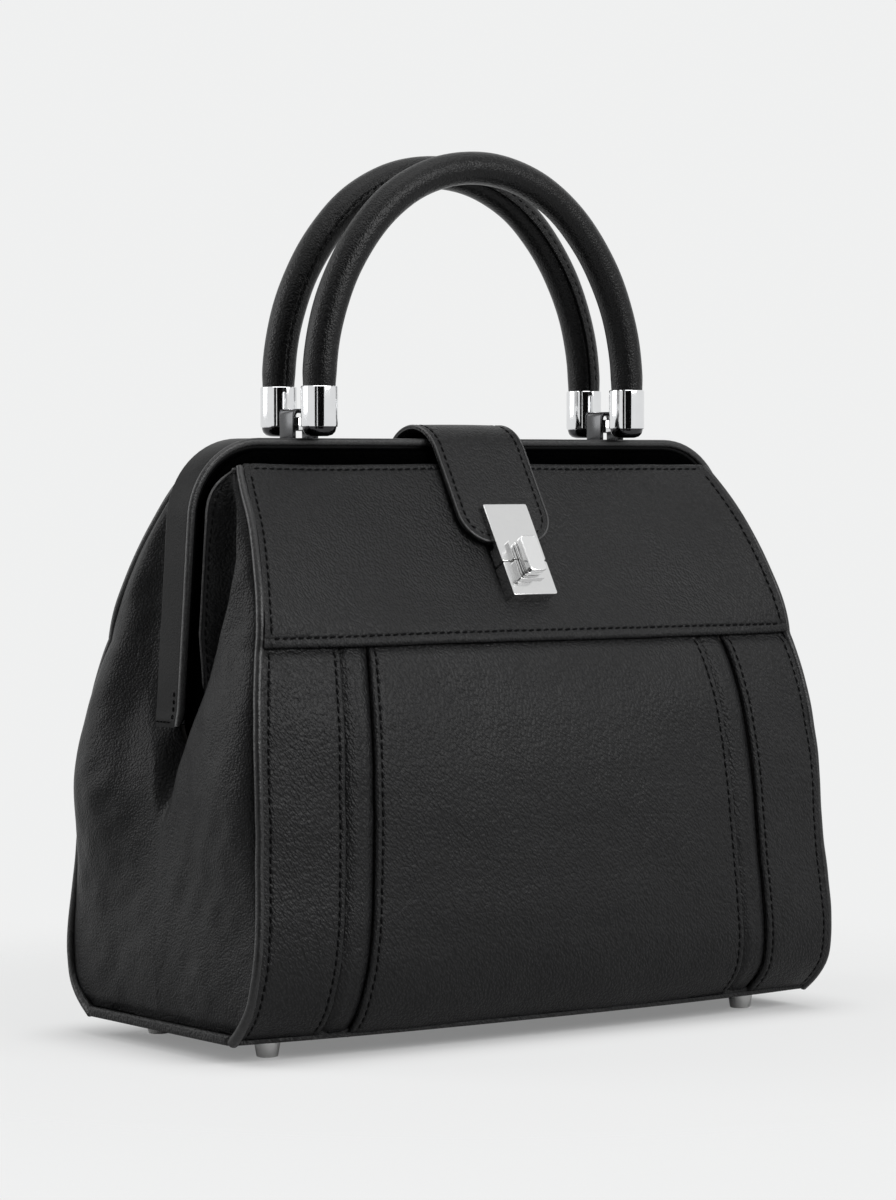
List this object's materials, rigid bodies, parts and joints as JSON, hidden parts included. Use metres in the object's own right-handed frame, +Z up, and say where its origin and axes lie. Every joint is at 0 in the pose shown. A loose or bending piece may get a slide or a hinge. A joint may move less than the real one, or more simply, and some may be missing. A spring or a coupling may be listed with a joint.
{
  "type": "top handle bag",
  "caption": "Structured leather doctor bag: hinged mouth frame, front strap with turn lock, rolled twin top handles on metal end caps, gusseted sides and metal feet.",
  "frame": {"origin": "centre of the footprint, on the surface the feet stand on", "axes": "+X along the bag, -Y is the front with the lock, +Z up"},
  "size_m": [0.282, 0.146, 0.347],
  "materials": {
    "leather": "smooth fine-grain calf, satin",
    "gusset_leather": "softer fine-grain calf, satin",
    "frame_leather": "calf wrapped tight over steel, satin",
    "handle_leather": "rolled calf, satin",
    "strap_leather": "smooth calf with painted edges, satin",
    "lining_cloth": "plain woven cotton",
    "board": "pressed fibreboard",
    "rope": "twisted cotton rope",
    "feet_metal": "brushed nickel",
    "inner_steel": "plain steel",
    "chrome": "polished nickel",
    "lock_metal": "polished nickel"
  },
  "bodies": {
    "bag": {"base_panel": "leather", "base_board": "board", "feet": "feet_metal", "foot_nuts": "inner_steel", "front_centre_panel": "leather", "front_side_panels": "leather", "front_strips": "leather", "back_centre_panel": "leather", "back_side_panels": "leather", "back_strips": "leather", "back_yoke": "leather", "left_gusset": "gusset_leather", "right_gusset": "gusset_leather", "corner_piping": "leather", "lining": "lining_cloth", "rear_frame_cover": "frame_leather", "rear_frame_core": "inner_steel", "hinge_pins": "inner_steel", "hinge_bushes": "inner_steel", "brackets": "chrome", "pivot_pins": "chrome", "strap_tail": "strap_leather"},
    "front_frame": {"front_frame_cover": "frame_leather", "front_frame_core": "inner_steel", "front_yoke": "leather", "front_gusset_flaps": "gusset_leather", "lock_block": "lock_metal", "lock_screws": "inner_steel"},
    "strap_end": {"strap": "strap_leather", "strap_rivets": "chrome", "lock_plate": "lock_metal"},
    "knob": {"lock_knob": "lock_metal"},
    "front_handle": {"front_handle_roll": "handle_leather", "front_handle_core": "rope", "front_handle_caps": "chrome"},
    "back_handle": {"back_handle_roll": "handle_leather", "back_handle_core": "rope", "back_handle_caps": "chrome"}
  },
  "joints": [
    {"name": "frame_open", "type": "hinge", "parent": "bag", "child": "front_frame", "pos_m": [0, 0, 0.1275], "axis": [1, 0, 0], "range_deg": [0, 26]},
    {"name": "strap_lift", "type": "hinge", "parent": "bag", "child": "strap_end", "pos_m": [0, 0.01405, 0.23237], "axis": [-1, 0, 0], "range_deg": [0, 91]},
    {"name": "knob_turn", "type": "hinge", "parent": "strap_end", "child": "knob", "pos_m": [0, -0.03986, 0.18197], "axis": [0, -0.8608, 0.5089], "range_deg": [0, 90]},
    {"name": "front_handle_swing", "type": "hinge", "parent": "bag", "child": "front_handle", "pos_m": [0, 0, 0.2386], "axis": [1, 0, 0], "range_deg": [-4, 8]},
    {"name": "back_handle_swing", "type": "hinge", "parent": "bag", "child": "back_handle", "pos_m": [0, 0, 0.2386], "axis": [1, 0, 0], "range_deg": [-8, 4]}
  ],
  "couplings": [
    {"joint": "strap_lift", "follows": "frame_open", "ratio": 3.5}
  ]
}
